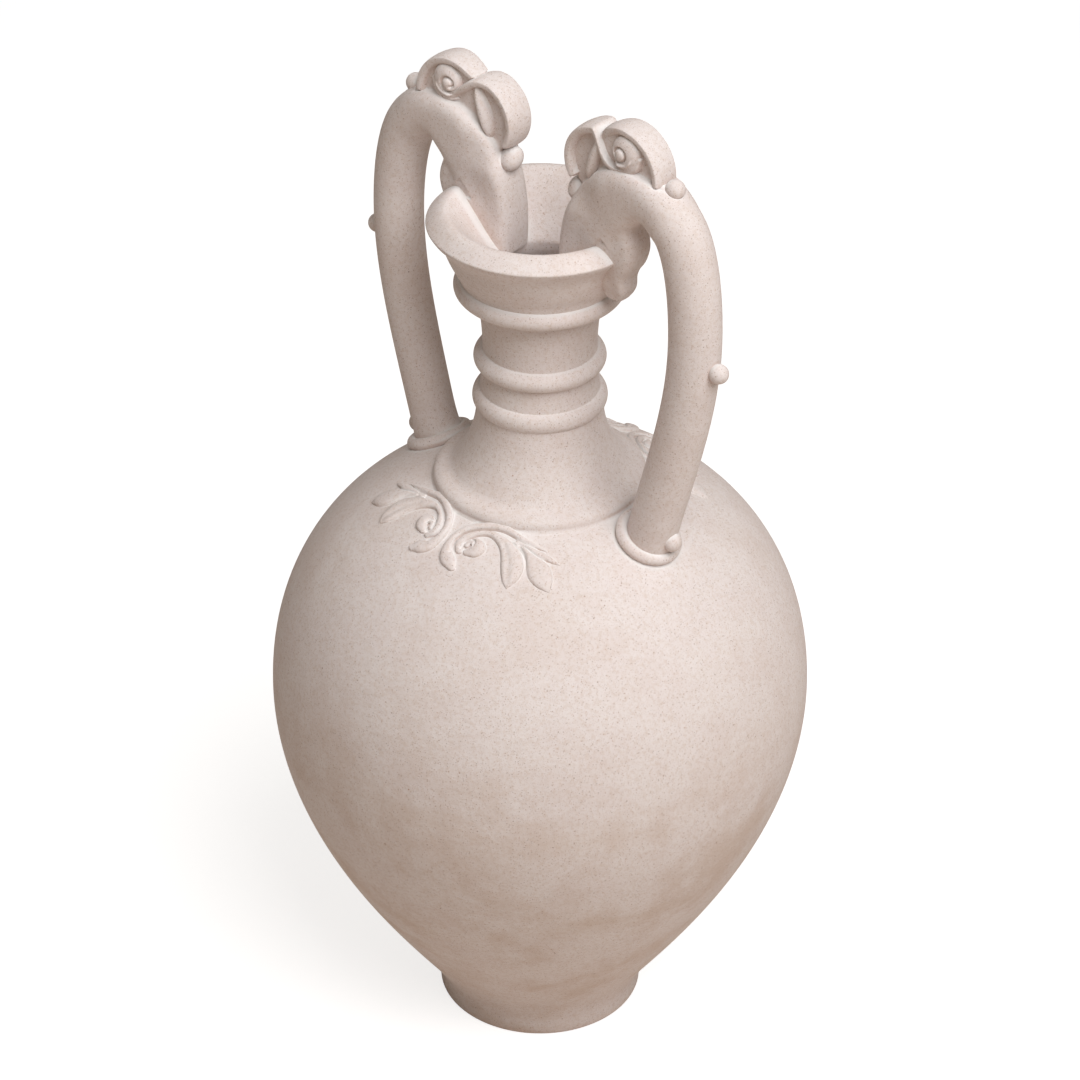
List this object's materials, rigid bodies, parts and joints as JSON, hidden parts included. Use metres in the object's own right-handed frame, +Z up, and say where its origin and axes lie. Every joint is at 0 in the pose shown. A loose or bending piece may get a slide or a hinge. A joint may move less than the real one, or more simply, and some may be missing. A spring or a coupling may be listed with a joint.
{
  "type": "amphora vase",
  "caption": "Tall matte ceramic amphora vase: ovoid body, ringed neck, dished flaring mouth, and arched handles ending in dragon heads that bite the lip",
  "frame": {"origin": "centre of the ring that the foot stands on", "axes": "+Z up along the vase's axis, the two handles on +X and -X, the relief sprays facing -Y and +Y"},
  "size_m": [0.2588, 0.2588, 0.5017],
  "materials": {
    "matte_clay": "matte, unglazed, finely speckled off-white with a pinkish cream tone and soft beige mottling"
  },
  "bodies": {
    "root": {"foot": "matte_clay", "lower_body": "matte_clay", "upper_body": "matte_clay", "shoulder_collar": "matte_clay", "neck": "matte_clay", "neck_ring_lower": "matte_clay", "neck_ring_upper": "matte_clay", "cup_ring": "matte_clay", "mouth_cup": "matte_clay", "spray_front_left": "matte_clay", "spray_front_right": "matte_clay", "spray_back_left": "matte_clay", "spray_back_right": "matte_clay", "right_stem": "matte_clay", "right_base_ring": "matte_clay", "right_head": "matte_clay", "right_lower_jaw": "matte_clay", "right_brow_crest": "matte_clay", "right_snout_crest": "matte_clay", "right_eye_front": "matte_clay", "right_eye_back": "matte_clay", "right_leaf_front": "matte_clay", "right_leaf_back": "matte_clay", "right_chin_ball": "matte_clay", "right_bead_base": "matte_clay", "right_bead_middle": "matte_clay", "right_bead_nape": "matte_clay", "left_stem": "matte_clay", "left_base_ring": "matte_clay", "left_head": "matte_clay", "left_lower_jaw": "matte_clay", "left_brow_crest": "matte_clay", "left_snout_crest": "matte_clay", "left_eye_front": "matte_clay", "left_eye_back": "matte_clay", "left_leaf_front": "matte_clay", "left_leaf_back": "matte_clay", "left_chin_ball": "matte_clay", "left_bead_base": "matte_clay", "left_bead_middle": "matte_clay", "left_bead_nape": "matte_clay"}
  },
  "joints": []
}
